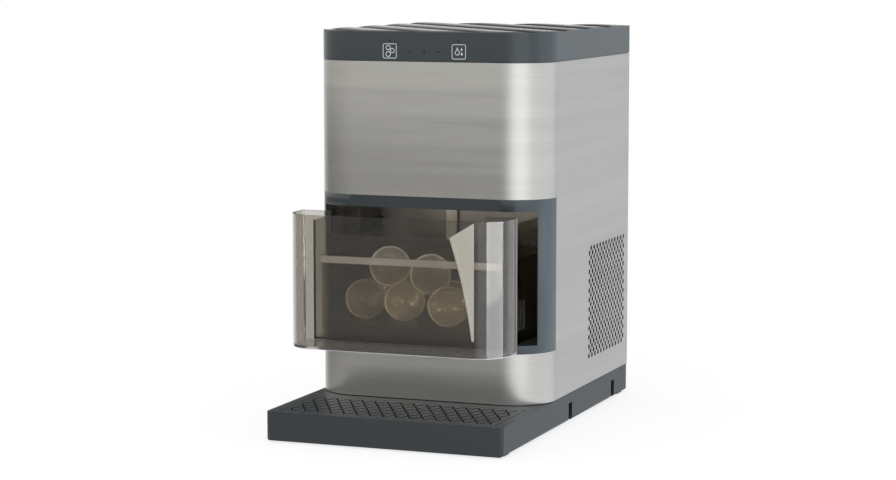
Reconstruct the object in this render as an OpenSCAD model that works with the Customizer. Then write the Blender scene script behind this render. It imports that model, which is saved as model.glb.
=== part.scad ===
// Countertop machine that freezes clear ice balls and drops them into a smoked pull-out drawer.
// Millimetres, +Z up, front towards -Y. The origin is under the middle of the base, on the table.

/* [Body] */
// Width across the steel side panels
body_w = 270; // [266:1:276]
// Depth of the steel body from its front face to its rear panel
body_d = 314.5; // [310:0.5:320]
// Radius of the two front vertical corners
corner_r = 48; // [46:0.5:49]
// Height of the steel panels above the base
wrap_h = 369.7; // [366:0.1:376]
// Sheet thickness of the steel panels
sheet_t = 1.2; // [1:0.1:1.4]
// Shadow gap between panels and their neighbours
panel_gap = 0.8; // [0.4:0.1:1.2]

/* [Base] */
// Depth of the base with its front apron
base_d = 437; // [430:1:450]
// Inset of the base sides from the steel sides
base_inset = 0.5; // [0:0.1:1]
// Height of the base
base_h = 31.4; // [30:0.1:33]
// Wall thickness of the base shell
base_t = 3; // [2.5:0.1:3.2]
// Radius of the vertical and lower edges of the base
base_r = 4; // [2:0.5:6]
// Distance from the rear panel to the rear edge of the base
rear_step = 2; // [2:0.5:4]
// Height of the locating rim that the panels stand round
rim_h = 8; // [6:0.5:9]
// Thickness of the locating rims of base and cover
rim_t = 2.5; // [2:0.1:3]
// Width of the side notches
notch_w = 12; // [8:1:16]
// Height of the side notches
notch_h = 20.5; // [14:0.5:22]
// Distance between the two notches of a side
notch_pitch = 157; // [140:1:170]
// Diameter of a rubber foot
foot_d = 14; // [11:1:15]
// Distance the feet stand out below the base
foot_h = 2; // [1.5:0.5:3]

/* [Drip grille] */
// Margin of the apron beside the grille
grille_side = 12; // [11:0.5:16]
// Margin of the apron in front of the grille
grille_front = 7.75; // [7:0.25:10]
// Margin of the apron between the grille and the body
grille_rear = 16.75; // [15.5:0.25:20]
// Thickness of the grille plate
grille_t = 3.1; // [2.8:0.1:3.4]
// Width of one diamond
diamond_w = 15.1; // [14:0.1:17]
// Length of one diamond
diamond_l = 28; // [26:0.5:29]
// Width of a slot
slot_w = 2.4; // [1.8:0.1:2.8]
// Bridge left between slots
slot_bridge = 3.2; // [2.6:0.1:4]
// Depth of the drip basin under the grille
basin_h = 16; // [12:1:18]

/* [Drawer frame] */
// Height of the frame's lower edge above the base
bezel_lift = 56.2; // [54:0.1:58]
// Height of the frame
bezel_h = 167.4; // [166:0.1:170]
// Thickness of the frame from front to back
bezel_t = 11; // [10:0.5:11.5]
// Width of the frame beside the opening
post_w = 10.8; // [10.4:0.1:11.4]
// Height of the opening
open_h = 145.2; // [144.6:0.1:146]
// Height of the frame below the opening
bezel_sill = 9.2; // [8.6:0.1:10]

/* [Drawer] */
// Travel of the drawer
travel = 100; // [90:1:104]
// Gap round the fascia in the opening
fascia_gap = 0.8; // [0.6:0.1:1]
// Corner radius of the fascia
fascia_r = 34; // [30:1:38]
// Depth of the hollow front from its face to its rear wall
return_d = 54; // [52:0.5:56]
// Depth of the dip in the hollow front's rear wall
dip_h = 24.6; // [20:0.2:30]
// Width of the full-height ends beside the dip
dip_side = 32; // [24:1:40]
// Wall thickness of fascia and bin
clear_t = 3; // [2.4:0.1:3]
// Length of the bin from the front face to its back
bin_d = 175; // [173:0.5:177]
// Height of the bin's side walls
bin_h = 130; // [124:1:132]
// Height of the bin's back wall
back_h = 100; // [94:1:101]
// Width of the sloped web in the hollow front
web_w = 25; // [22:0.5:28]
// Thickness of the web along its slope
web_t = 2.6; // [2.2:0.1:3]
// Width of the thick band along the web's slope
web_band = 2.8; // [2:0.1:4]
// Bow of the web's slope
web_sag = 2.7; // [2:0.1:4]
// Height of the web's foot above the bottom of the hollow front
web_foot = 15; // [10:1:20]
// Radius of the hollow front's rear corners inside
hollow_r = 6; // [4:0.5:8]
// Inset of the bin from the inner sides of the hollow front
bin_inset = 10.2; // [8:0.2:12]
// Height of the ice tub
tub_h = 88.8; // [86:0.1:92]
// Height of the tub's rim
tub_rim = 7.4; // [5:0.1:9]
// Height of the tub's floor above the bin
tub_lift = 11.3; // [8:0.1:13]
// Wall thickness of the ice tub
tub_t = 2.2; // [1.8:0.1:2.6]

/* [Ice] */
// Diameter of an ice ball
ball_d = 45; // [43:0.5:45]

/* [Top cover] */
// Height of the top cover
cover_h = 32.7; // [30:0.1:36]
// Wall thickness of the cover
cover_t = 3; // [2.6:0.1:3.4]
// Chamfer of the cover's upper edge
cover_c = 1.4; // [1:0.1:2]
// Spacing of the slanting grooves along the front
groove_pitch = 71.5; // [66:0.5:76]
// Depth of a groove between two round-backed ribs
groove_deep = 1.2; // [0.8:0.1:1.4]
// Slant of the grooves, run towards the front per run to the right
groove_slant = 1.11; // [0.9:0.01:1.3]
// Diameter of an indicator lens
led_d = 2.4; // [1.8:0.1:3]
// Distance of the touch symbols from the middle
symbol_x = 40; // [36:0.5:44]

/* [Side vent] */
// Diameter of a vent hole
vent_hole = 6; // [5:0.1:6.4]
// Spacing of the holes along a row
vent_py = 11.3; // [10.8:0.1:12]
// Spacing of the holes up a column
vent_pz = 10.7; // [10.2:0.1:11.2]

/* [Ice mould] */
// Spacing of the ball cups across the mould
cup_px = 54; // [50:1:56]
// Spacing of the ball cups from front to back
cup_py = 50; // [48:1:52]
// Thickness of each mould half
mould_t = 31; // [28:0.5:33]
// Diameter of the tilting shaft
shaft_d = 8; // [6:0.5:9]

/* [Cooling] */
// Diameter of the fan blades
fan_d = 96; // [88:1:100]
// Diameter of the compressor shell
comp_d = 104; // [96:1:108]
// Height of the compressor shell
comp_h = 122; // [112:1:130]
// Diameter of the refrigerant lines
line_d = 6; // [5:0.5:7]

/* [Fits] */
// Radial clearance of turning fits
run_fit = 0.05; // [0.03:0.01:0.08]
// Gap of sliding and lifting pieces
slide_gap = 0.3; // [0.3:0.05:0.5]

/* [Hidden] */
$fn = 64;
e = 0.01;
// Levels
z_base = foot_h + base_h;
z_wrap = z_base + wrap_h;
z_cover = z_wrap + panel_gap;
z_top = z_cover + cover_h;
z_bez = z_base + bezel_lift;
z_open = z_bez + bezel_sill;
// Front to back
y_back = base_d / 2;
y_rear = y_back - rear_step;
y_body = y_rear - body_d;
y_seam = y_body + corner_r;
half_w = body_w / 2;
open_w = body_w - 2 * post_w;
base_x = half_w - base_inset;
foot_x = base_x - foot_d / 2 - 3.5;
foot_y = y_back - 20;
cover_plate = 2;
notch_y = [y_body + 102, y_body + 102 + notch_pitch];
// Drip grille in the apron
grille_w = 2 * (base_x - grille_side);
grille_d = y_body + y_back - grille_front - grille_rear;
grille_y = grille_d / 2 + grille_front - y_back;
seat_gap = 0.6;
ledge = 4;
side_ledge = 8.5;
basin_rim = 1.8;
z_ledge = z_base - grille_t - slide_gap - basin_rim;
// Drawer, in its closed place
fas_x = open_w / 2 - fascia_gap;
z_fas = z_open + fascia_gap;
fas_h = open_h - 2 * fascia_gap;
bin_x = fas_x - clear_t - bin_inset;
bin_t = 2.6;
z_bin = z_fas + clear_t;
z_tubbase = z_bin + bin_t;
z_tubfloor = z_tubbase + tub_lift + bin_t;
rim_out = 2;
tub_x = bin_x - bin_t - rim_out - 0.6;
tub_y0 = return_d + rim_out + slide_gap + 0.2;
tub_y1 = bin_d - bin_t - rim_out - 0.4;
tongue_y = corner_r + travel + 0.4;
tongue_x = fas_x + 2.6;
tongue_h = 7.2;
z_tongue = z_bin + back_h + 0.8;
// Cavity liner
liner_t = 2;
liner_x = fas_x + 4.6;
liner_y = bin_d + 9;
z_liner = z_open - 1.8;
z_ceil = z_open + open_h + 6;
chute_x = cup_px + ball_d / 2 + 22;
chute_y0 = 40;
chute_y1 = 152;
rail_z = z_tongue - 0.5;
rail_lip = 3;
// Ice mould above the chute
mould_y = 96;
mould_x = cup_px + ball_d / 2 + 7;
mould_dy = cup_py / 2 + ball_d / 2 + 4;
axis_y = y_body + mould_y + mould_dy + 7;
z_split = z_ceil + 70;
axis_z = z_split - 9;
cheek_x = chute_x + 1;
cheek_t = 2;
motor_l = half_w - sheet_t - 10 - cheek_x - cheek_t;
gear_l = 0.6 * motor_l;
coil_r = 12;
coil_x = mould_x - coil_r - 6;
// Cooling behind the liner
pan_t = 1.2;
pan_i = sheet_t + rim_t + 0.3;
z_pan = z_base + pan_t;
fan_y = y_rear - 70;
fan_z = z_base + 92;
fan_x = half_w - 60;
comp_x = -58;
comp_y = y_rear - 66;
cond_x1 = half_w - 6;
cond_t = 20;
cond_x0 = cond_x1 - cond_t;
// Water under the liner
tank_x = half_w - 32;
tank_y0 = y_body + 22;
tank_y1 = y_body + 150;
tank_h = z_liner - z_pan - 6;
pump_x = 40;
pump_y = y_body + liner_y + 14;
// Rear fittings
inlet_x = 43 - half_w;
inlet_z = z_base + 190;
spout_x = 20;
spout_z = z_base + 24;

// Outline of the body in plan, set in by i, with round front corners and square rear corners
module plan(i = 0) {
  r = corner_r - i;
  x = half_w - i;
  translate([-x, y_body + i + r]) square([2 * x, y_rear - y_body - 2 * i - r]);
  translate([r - x, y_body + i]) square([2 * (x - r), r + 1]);
  for (s = [-1, 1]) translate([s * (x - r), y_body + i + r]) circle(r);
}

// Wall that follows the body outline between two insets
module plan_wall(z0, z1, i0, i1) {
  translate([0, 0, z0]) linear_extrude(z1 - z0) difference() {
    plan(i0);
    plan(i1);
  }
}

// Front part of such a wall, from one corner tangent to the other
module front_wall(z0, z1, i0, i1) {
  translate([0, 0, z0]) linear_extrude(z1 - z0) intersection() {
    difference() {
      plan(i0);
      plan(i1);
    }
    translate([-body_w, y_body - 1]) square([2 * body_w, corner_r + 1]);
  }
}

// Box given by its two corners
module span(a, b) {
  translate(a) cube(b - a);
}

// Cylinder along X, Y or Z from a start point
module rod_x(p, d, l) {
  translate(p) rotate([0, 90, 0]) cylinder(d = d, h = l);
}
module rod_y(p, d, l) {
  translate(p) rotate([-90, 0, 0]) cylinder(d = d, h = l);
}
module rod_z(p, d, l) {
  translate(p) cylinder(d = d, h = l);
}

// Quarter bend of a tube, turning from +Y at the start towards +X
module bend(r, d, a = 90) {
  rotate_extrude(angle = a) translate([r, 0]) circle(d = d, $fn = 24);
}

// Rounded rectangle in plan
module pad(w, d, r) {
  square([w - 2 * r, d], center = true);
  square([w, d - 2 * r], center = true);
  for (x = [-1, 1], y = [-1, 1]) translate([x * (w / 2 - r), y * (d / 2 - r)]) circle(r);
}

// Base: open-bottomed shell with apron, panel rim, ribs and side notches
module base_plinth() {
  color([0.22, 0.235, 0.245]) difference() {
    union() {
      difference() {
        intersection() {
          translate([0, 0, foot_h]) linear_extrude(base_h) pad(2 * base_x, base_d, base_r);
          rotate([90, 0, 0]) translate([0, 0, -base_d]) linear_extrude(2 * base_d)
            union() {
              translate([-base_x, foot_h + base_r]) square([2 * base_x, base_h]);
              translate([base_r - base_x, foot_h]) square([2 * (base_x - base_r), base_h]);
              for (s = [-1, 1]) translate([s * (base_x - base_r), foot_h + base_r]) circle(base_r);
            }
        }
        translate([0, 0, foot_h - 1]) linear_extrude(base_h - base_t + 1)
          pad(2 * (base_x - base_t), base_d - 2 * base_t, base_r);
      }
      plan_wall(z_base - e, z_base + rim_h, sheet_t, sheet_t + rim_t);
      // Frame round the drip basin
      span([-grille_w / 2 - base_t, grille_y - grille_d / 2 - base_t, z_ledge - 4],
           [grille_w / 2 + base_t, grille_y + grille_d / 2 + base_t, z_base - base_t + e]);
      // Ribs under the deck
      for (i = [-1.5 : 1.5]) translate([i * base_x * 0.42, 0, 0])
        span([-1.25, y_body + 12, foot_h + cover_plate], [1.25, y_back - base_t + e, z_base - base_t + e]);
      for (y = [y_body + 50, y_body + 172, y_body + 240])
        span([-base_x + base_t - e, y - 1.25, foot_h + cover_plate],
             [base_x - base_t + e, y + 1.25, z_base - base_t + e]);
      // Sockets of the feet
      for (x = [-1, 1], y = [-1, 1])
        rod_z([x * foot_x, y * foot_y, foot_h], foot_d + 5, base_h - base_t + e);
    }
    // Seat of the grille and the basin
    span([-grille_w / 2 - seat_gap, grille_y - grille_d / 2 - seat_gap, z_ledge],
         [grille_w / 2 + seat_gap, grille_y + grille_d / 2 + seat_gap, z_base + 1]);
    span([-grille_w / 2 + side_ledge, grille_y - grille_d / 2 + ledge, foot_h - 1],
         [grille_w / 2 - side_ledge, grille_y + grille_d / 2 - ledge, z_base]);
    for (x = [-1, 1], y = [-1, 1]) rod_z([x * foot_x, y * foot_y, -1], foot_d, foot_h + 5);
    for (s = [-1, 1], y = notch_y)
      translate([s * base_x, y, foot_h]) cube([4 * base_t, notch_w, 2 * notch_h], center = true);
  }
}

// Flat cover that closes the underside, let in between the walls and round the feet
module base_cover() {
  color([0.14, 0.14, 0.15]) difference() {
    translate([0, 0, foot_h]) linear_extrude(cover_plate) difference() {
      pad(2 * (base_x - base_t - slide_gap), base_d - 2 * (base_t + slide_gap), base_r);
      for (x = [-1, 1], y = [-1, 1]) translate([x * foot_x, y * foot_y]) circle(d = foot_d + 5 + 2 * slide_gap);
      for (s = [-1, 1], y = notch_y) translate([s * base_x, y])
        square([4 * base_t + 2, notch_w + 2], center = true);
    }
    for (i = [0 : 9], s = [-1, 1])
      translate([s * base_x / 2, y_body + 62 + i * 9, foot_h]) cube([56, 3.4, 4 * cover_plate], center = true);
  }
}

// Sheet pan on the base that carries the cooling set, with upturned edges
module base_pan() {
  color([0.62, 0.64, 0.65]) {
    translate([0, 0, z_base]) linear_extrude(pan_t) plan(pan_i);
    plan_wall(z_pan - e, z_pan + rim_h, pan_i, pan_i + pan_t);
  }
}

// Feet pressed into the base
module rubber_feet() {
  color([0.12, 0.12, 0.12]) for (x = [-1, 1], y = [-1, 1]) translate([x * foot_x, y * foot_y, 0]) {
    rod_z([0, 0, 0.8], foot_d, foot_h + 3.2);
    cylinder(d1 = foot_d - 2, d2 = foot_d, h = 0.8 + e);
  }
}

// Basin that hangs by its rim under the grille
module drip_basin() {
  w = grille_w - 2 * side_ledge - 1;
  d = grille_d - 2 * ledge - 1;
  color([0.17, 0.18, 0.19]) translate([0, grille_y, 0]) difference() {
    union() {
      translate([0, 0, z_ledge]) linear_extrude(basin_rim) pad(grille_w, grille_d, 2);
      translate([0, 0, z_ledge - basin_h]) linear_extrude(basin_h + e) pad(w, d, 6);
    }
    translate([0, 0, z_ledge - basin_h + 2]) linear_extrude(basin_h + 4) pad(w - 4, d - 4, 4);
  }
}

// Lift-off grille: a field of diamonds between crossing slots
module drip_grille() {
  cx = diamond_w / 2;
  cy = diamond_l / 2;
  nx = floor((grille_w - 10) / cx);
  ny = floor((grille_d - 8) / cy);
  len = sqrt(cx * cx + cy * cy) - slot_bridge;
  ang = atan2(cx, cy);
  color([0.24, 0.255, 0.265]) translate([0, grille_y, z_base - grille_t]) difference() {
    linear_extrude(grille_t) pad(grille_w - 0.2, grille_d - 0.2, 2);
    for (i = [0 : nx - 1], j = [0 : ny - 1])
      translate([(i - (nx - 1) / 2) * cx, (j - (ny - 1) / 2) * cy, grille_t / 2])
        rotate([0, 0, ((i + j) % 2 == 0 ? 1 : -1) * ang]) cube([slot_w, len, 2 * grille_t], center = true);
  }
}

// Steel sheet over the drawer, with a return along its lower edge
module front_upper_panel() {
  color([0.72, 0.71, 0.69]) {
    front_wall(z_bez + bezel_h, z_wrap, 0, sheet_t);
    front_wall(z_bez + bezel_h, z_bez + bezel_h + sheet_t, 0, 9);
  }
}

// Steel sheet under the drawer, with a return along its upper edge
module front_lower_panel() {
  color([0.72, 0.71, 0.69]) {
    front_wall(z_base + panel_gap, z_bez, 0, sheet_t);
    front_wall(z_bez - sheet_t, z_bez, 0, 9);
  }
}

// Flat side sheet with edge returns
module side_sheet() {
  y0 = y_seam + 0.3;
  zf0 = z_base + rim_h + pan_t + 0.6;
  zf1 = z_wrap - rim_h - 0.6;
  union() {
    span([half_w - sheet_t, y0, z_base + panel_gap], [half_w, y_rear, z_wrap]);
    span([half_w - 4, y0, zf0], [half_w, y0 + sheet_t, zf1]);
    span([half_w - 10.5, y_rear - 2 * sheet_t, zf0], [half_w - sheet_t + e, y_rear - sheet_t, zf1]);
  }
}

// Heights and places of the rear screws
screw_z = [for (i = [0 : 3]) z_base + 30 + i * (wrap_h - 60) / 3];
screw_x = half_w - 6.5;

// Right side sheet with its field of staggered holes
module side_panel_right() {
  ny = 12;
  nz = 12;
  vy = y_body + 231.5;
  vz = z_base + 93.3;
  color([0.75, 0.75, 0.74]) difference() {
    side_sheet();
    for (i = [0 : ny - 1], j = [0 : nz - 1], k = [0, 1])
      rod_x([half_w - 2 * sheet_t, vy + (i - ny / 2 + 0.25 + k / 2) * vent_py,
             vz + (j - nz / 2 + 0.25 + k / 2) * vent_pz], vent_hole, 4 * sheet_t);
    for (z = screw_z) rod_y([screw_x, y_rear - 3 * sheet_t, z], 3, 4 * sheet_t);
  }
}

// Left side sheet, plain
module side_panel_left() {
  color([0.75, 0.75, 0.74]) difference() {
    mirror([1, 0, 0]) side_sheet();
    for (z = screw_z) rod_y([-screw_x, y_rear - 3 * sheet_t, z], 3, 4 * sheet_t);
  }
}

// Rear sheet with exhaust slots, inlet cut-out and drain hole
module rear_panel() {
  x = half_w - sheet_t - 0.3;
  color([0.6, 0.61, 0.62]) difference() {
    span([-x, y_rear - sheet_t, z_base + panel_gap], [x, y_rear, z_wrap]);
    for (i = [0 : 11], c = [-1, 1])
      translate([c * 44 + 14, y_rear, fan_z - 46 + i * 9]) cube([76, 4 * sheet_t, 4], center = true);
    translate([inlet_x, y_rear, inlet_z]) cube([27.6, 4 * sheet_t, 20.4], center = true);
    rod_y([spout_x, y_rear - 2 * sheet_t, spout_z], 26, 4 * sheet_t);
    for (s = [-1, 1], z = screw_z) rod_y([s * screw_x, y_rear - 2 * sheet_t, z], 3, 4 * sheet_t);
  }
}

// Dark frame round the drawer, flush with the steel and wrapped round both corners
module drawer_bezel() {
  color([0.22, 0.235, 0.245]) difference() {
    front_wall(z_bez, z_bez + bezel_h, 0, bezel_t);
    span([-open_w / 2, y_body - 1, z_open], [open_w / 2, y_seam + 1, z_open + open_h]);
  }
}

// Liner of the drawer cavity, open at the front, with the chute in its ceiling
module cavity_liner() {
  yb = y_body + liner_y;
  color([0.1, 0.1, 0.105]) difference() {
    union() {
      span([-liner_x - liner_t, y_seam + 0.3, z_liner - liner_t], [liner_x + liner_t, yb, z_ceil + liner_t]);
      intersection() {
        span([-open_w / 2 + 0.3, y_body, z_liner - liner_t], [open_w / 2 - 0.3, y_seam + 1, z_ceil + liner_t]);
        translate([0, 0, z_liner - 9]) linear_extrude(z_ceil - z_liner + 18) plan(bezel_t);
      }
    }
    span([-liner_x, y_seam, z_liner], [liner_x, yb - liner_t, z_ceil]);
    span([-open_w, y_body, z_liner], [open_w, y_seam + 0.5, z_ceil]);
    span([-chute_x, y_body + chute_y0, z_ceil - 1], [chute_x, y_body + chute_y1, z_ceil + 4]);
  }
}

// Side channels that the bin's tongues run in, and floor runners
module drawer_rails() {
  y0 = y_seam + 1;
  y1 = y_body + liner_y - liner_t;
  xi = fas_x + 0.6;
  color([0.16, 0.16, 0.17]) for (s = [0, 1]) mirror([s, 0, 0]) {
    difference() {
      span([xi, y0, rail_z - rail_lip], [liner_x, y1, rail_z + tongue_h + 1 + rail_lip]);
      span([xi - 1, y0 - 1, rail_z], [liner_x - 1.2, y1 + 1, rail_z + tongue_h + 1]);
    }
    span([56, y_body + bezel_t + 1, z_liner], [64, y1, z_fas - 0.4]);
  }
}

// Pale duct on the cavity's back wall that leads spare water down from the mould
module return_duct() {
  yb = y_body + liner_y - liner_t;
  color([0.6, 0.62, 0.6]) translate([-35.6, 0, 0]) difference() {
    span([-6.5, yb - 5.5, z_tongue - 13], [6.5, yb, z_ceil]);
    span([-4.5, yb - 3.5, z_tongue - 14], [4.5, yb - 1.5, z_ceil + 1]);
  }
}

// Ring cutter and straight cutters that chamfer the cover's upper edge
module top_chamfer() {
  tri = [[-cover_c - 1, 1], [1, 1], [1, -cover_c - 1]];
  yc = y_seam;
  xc = half_w - corner_r;
  translate([0, 0, z_top]) {
    for (s = [0, 1]) mirror([s, 0, 0]) {
      translate([xc, yc, 0]) rotate([0, 0, -90]) rotate_extrude(angle = 90)
        translate([corner_r, 0]) polygon(tri);
      translate([half_w, yc, 0]) rotate([90, 0, 180]) linear_extrude(body_d)
        mirror([1, 0]) polygon(tri);
    }
    translate([-xc, y_body, 0]) rotate([90, 0, 90]) linear_extrude(2 * xc) mirror([1, 0]) polygon(tri);
  }
}

// Places of the indicator lenses on the cover's front, as x and height above the cover's lower edge
leds = [[-symbol_x, 21.9], [symbol_x, 21.9], [-16.5, 10.2], [0, 10.2], [16.5, 10.2]];

// Block with round-backed ribs on its top, side by side on a slant
module ribbed_block() {
  w = groove_pitch * groove_slant / norm([1, groove_slant]);
  r = w * w / 8 / groove_deep + groove_deep / 2;
  translate([22, y_body, z_top]) rotate([0, 0, atan2(-groove_slant, 1)]) rotate([90, 0, 90])
    linear_extrude(1200, center = true) {
      translate([-6 * w, -cover_h - 5]) square([16 * w, cover_h + 4.5 - groove_deep]);
      for (k = [-5 : 9]) translate([k * w, 0]) intersection() {
        translate([0, -r]) circle(r, $fn = 720);
        translate([-w / 2 - 2, -groove_deep - 1]) square([w + 4, groove_deep + 2]);
      }
    }
}

// Top cover: shell with slanting ribs, locating rim, lens holes and board posts
module top_cover() {
  color([0.22, 0.235, 0.245]) difference() {
    union() {
      difference() {
        intersection() {
          translate([0, 0, z_cover]) linear_extrude(cover_h + 1) plan(0);
          ribbed_block();
        }
        translate([0, 0, z_cover - 1]) linear_extrude(cover_h - cover_t) plan(cover_t);
      }
      plan_wall(z_wrap - rim_h, z_cover + 4, sheet_t, sheet_t + rim_t);
      for (s = [-1, 1]) rod_y([s * 60, y_body + cover_t - 1, z_cover + 16], 6, 7);
    }
    top_chamfer();
    for (p = leds) rod_y([p[0], y_body - 1, z_cover + p[1]], led_d + 0.1, cover_t + 8);
  }
}

// Indicator lenses between the board and the cover's front face
module led_lenses() {
  color([0.05, 0.05, 0.05]) for (p = leds)
    rod_y([p[0], y_body, z_cover + p[1]], led_d, cover_t + 6);
}

// Control board with its larger components
module control_board() {
  y = y_body + cover_t + 6;
  color([0.1, 0.35, 0.2]) {
    span([-70, y, z_cover + 4], [70, y + 1.6, z_cover + 26]);
    for (x = [-50, -20, 34]) span([x, y + 1.6 - e, z_cover + 8], [x + 12, y + 6, z_cover + 18]);
    rod_y([52, y + 1.6 - e, z_cover + 14], 10, 12);
  }
}

// Outline of the fascia in its closed place, set in by i
module fascia_plan(i) {
  r = fascia_r - i;
  x = fas_x - i;
  translate([-x, y_body + fascia_r]) square([2 * x, return_d - fascia_r]);
  intersection() {
    union() {
      translate([r - x, y_body + i]) square([2 * (x - r), r + 1]);
      for (s = [-1, 1]) translate([s * (x - r), y_body + fascia_r]) circle(r);
    }
    translate([-x, y_body]) square([2 * x, fascia_r + 1]);
  }
}

// Smoked hollow front of the drawer: round corners, side returns, bottom and a rear wall with a dip
module drawer_fascia() {
  x = fas_x - clear_t;
  d = return_d - clear_t;
  dip_x = x - dip_side;
  color([0.45, 0.43, 0.4, 0.4]) translate([0, -travel, z_fas]) difference() {
    linear_extrude(fas_h) fascia_plan(0);
    translate([0, 0, clear_t]) linear_extrude(fas_h) intersection() {
      fascia_plan(clear_t);
      translate([0, y_body]) {
        translate([-x - 1, 0]) square([2 * x + 2, d - hollow_r]);
        translate([hollow_r - x, 0]) square([2 * (x - hollow_r), d]);
        for (s = [-1, 1]) translate([s * (x - hollow_r), d - hollow_r]) circle(hollow_r);
      }
    }
    span([-dip_x, y_body + d - 1, fas_h - dip_h], [dip_x, y_body + return_d + 1, fas_h + 1]);
  }
}

// Smoked bin behind the hollow front: floor, side walls with ribs, back wall and the two end tongues
module drawer_bin() {
  y0 = return_d;
  color([0.42, 0.4, 0.38, 0.4]) translate([0, y_body - travel, 0]) {
    span([-bin_x, y0, z_bin], [bin_x, bin_d, z_bin + bin_t]);
    span([-bin_x, bin_d - bin_t, z_bin], [bin_x, bin_d, z_bin + back_h]);
    for (s = [0, 1]) mirror([s, 0, 0]) {
      span([bin_x - bin_t, y0, z_bin], [bin_x, bin_d, z_bin + bin_h]);
      span([bin_x - bin_t, tongue_y, z_tongue], [tongue_x, bin_d, z_tongue + tongue_h]);
      for (y = [100, 112]) span([bin_x - e, y - 0.6, z_bin + 14], [bin_x + 1, y + 0.6, z_bin + 46]);
    }
  }
}

// Lift-in tub for the balls, with a rim and a slotted floor
module ice_tub() {
  w = 2 * tub_x;
  d = tub_y1 - tub_y0;
  color([0.4, 0.38, 0.35, 0.5]) translate([0, y_body - travel + (tub_y0 + tub_y1) / 2, z_tubbase]) difference() {
    union() {
      linear_extrude(tub_h) pad(w, d, 9);
      translate([0, 0, tub_h - tub_rim]) linear_extrude(tub_rim) pad(w + 2 * rim_out, d + 2 * rim_out, 11);
    }
    translate([0, 0, tub_lift + bin_t]) linear_extrude(tub_h) pad(w - 2 * tub_t, d - 2 * tub_t, 9 - tub_t);
    translate([0, 0, -1]) linear_extrude(tub_lift + 1) pad(w - 2 * tub_t, d - 2 * tub_t, 9 - tub_t);
    for (x = [-1, 1], j = [0 : 7])
      translate([x * w / 4, (j - 3.5) * d / 9, tub_lift]) cube([w / 2 - 22, 3, 12], center = true);
  }
}

// Sloped web inside the hollow front, at its right end, with a thick band along its curved slope
module fascia_web() {
  xr = fas_x - fascia_r + 2;
  top = z_fas + fas_h;
  a = [xr - web_w, top - 18];
  z = z_bin + web_foot;
  b = [xr, z];
  c = norm(b - a);
  r = (c * c / 4 + web_sag * web_sag) / 2 / web_sag;
  m = (a + b) / 2 - [a[1] - b[1], b[0] - a[0]] / c * (r - web_sag);
  color([0.9, 0.9, 0.88]) translate([0, y_body - travel + clear_t + slide_gap + web_t, 0]) rotate([90, 0, 0])
    difference() {
      linear_extrude(web_t) polygon([
        [xr - 9, z], [xr + 1.5, z], [xr + 1.5, top - 2], a - [6.6, 4]
      ]);
      translate([m[0], m[1], -1]) cylinder(r = r, h = web_t + 2, $fn = 360);
      translate([0, 0, web_t - 1.2]) linear_extrude(2) difference() {
        translate([a[0] - 40, z_bin - 20]) square([web_w + 80, fas_h + 60]);
        translate(m) circle(r + web_band, $fn = 360);
      }
    }
}

// Floor places of the lower balls, from the tub's left wall, in the drawer as it stands open
low = [for (p = [[34, 6.5], [82, 3], [141, -18.5], [129, 26.8], [61, 43.6]]) [p[0] - tub_x, p[1]]];
// A ball that rests on three lower ones
function apex(a, b, c) = let (
    r = ball_d + 0.1,
    u = b - a,
    v = c - a,
    den = 2 * (u[0] * v[1] - u[1] * v[0]),
    px = (v[1] * (u * u) - u[1] * (v * v)) / den,
    py = (u[0] * (v * v) - v[0] * (u * u)) / den
  ) [a[0] + px, a[1] + py, sqrt(r * r - px * px - py * py)];
balls = concat(
  [for (p = low) [p[0], p[1], 0]],
  [apex(low[0], low[1], low[4]), apex(low[1], low[2], low[3])]
);

// Ice balls heaped in the tub
module ice_balls() {
  color([0.85, 0.9, 0.92, 0.5]) for (p = balls)
    translate([p[0], y_body + p[1], z_tubfloor + ball_d / 2 + 0.05 + p[2]]) sphere(d = ball_d);
}

// Two cheeks on the liner that carry the mould and the shaft
module mould_frame() {
  y0 = y_body + mould_y - mould_dy - 4;
  y1 = axis_y + 12;
  z0 = z_ceil + liner_t;
  color([0.66, 0.67, 0.68]) difference() {
    union() {
      for (s = [0, 1]) mirror([s, 0, 0]) {
        span([cheek_x, y0, z0], [cheek_x + cheek_t, y1, z_split + mould_t - 4]);
        span([cheek_x, y0, z0], [cheek_x + 14, y1, z0 + cheek_t]);
        span([mould_x, y_body + mould_y - 20, z_split + 8], [cheek_x + e, y_body + mould_y + 20, z_split + 10]);
      }
    }
    rod_x([-150, axis_y, axis_z], shaft_d + 2 * run_fit, 300);
  }
}

// Fixed upper mould half with six half-round cups
module mould_block() {
  color([0.78, 0.79, 0.8]) difference() {
    span([-mould_x, y_body + mould_y - mould_dy, z_split], [mould_x, y_body + mould_y + mould_dy, z_split + mould_t]);
    for (x = [-1 : 1], y = [-0.5, 0.5])
      translate([x * cup_px, y_body + mould_y + y * cup_py, z_split]) sphere(d = ball_d);
  }
}

// Flattened serpentine of the evaporator on the mould block
module evaporator_coil() {
  r = coil_r;
  z = z_split + mould_t + line_d / 2;
  x = coil_x;
  y0 = y_body + mould_y - 3 * r;
  color([0.72, 0.45, 0.3]) {
    for (i = [0 : 3]) rod_x([-x, y0 + 2 * r * i, z], line_d, 2 * x);
    for (i = [0, 2]) translate([x, y0 + r + 2 * r * i, z]) rotate([0, 0, -90]) bend(r, line_d, 180);
    translate([-x, y0 + 3 * r, z]) rotate([0, 0, 90]) bend(r, line_d, 180);
  }
}

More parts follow.
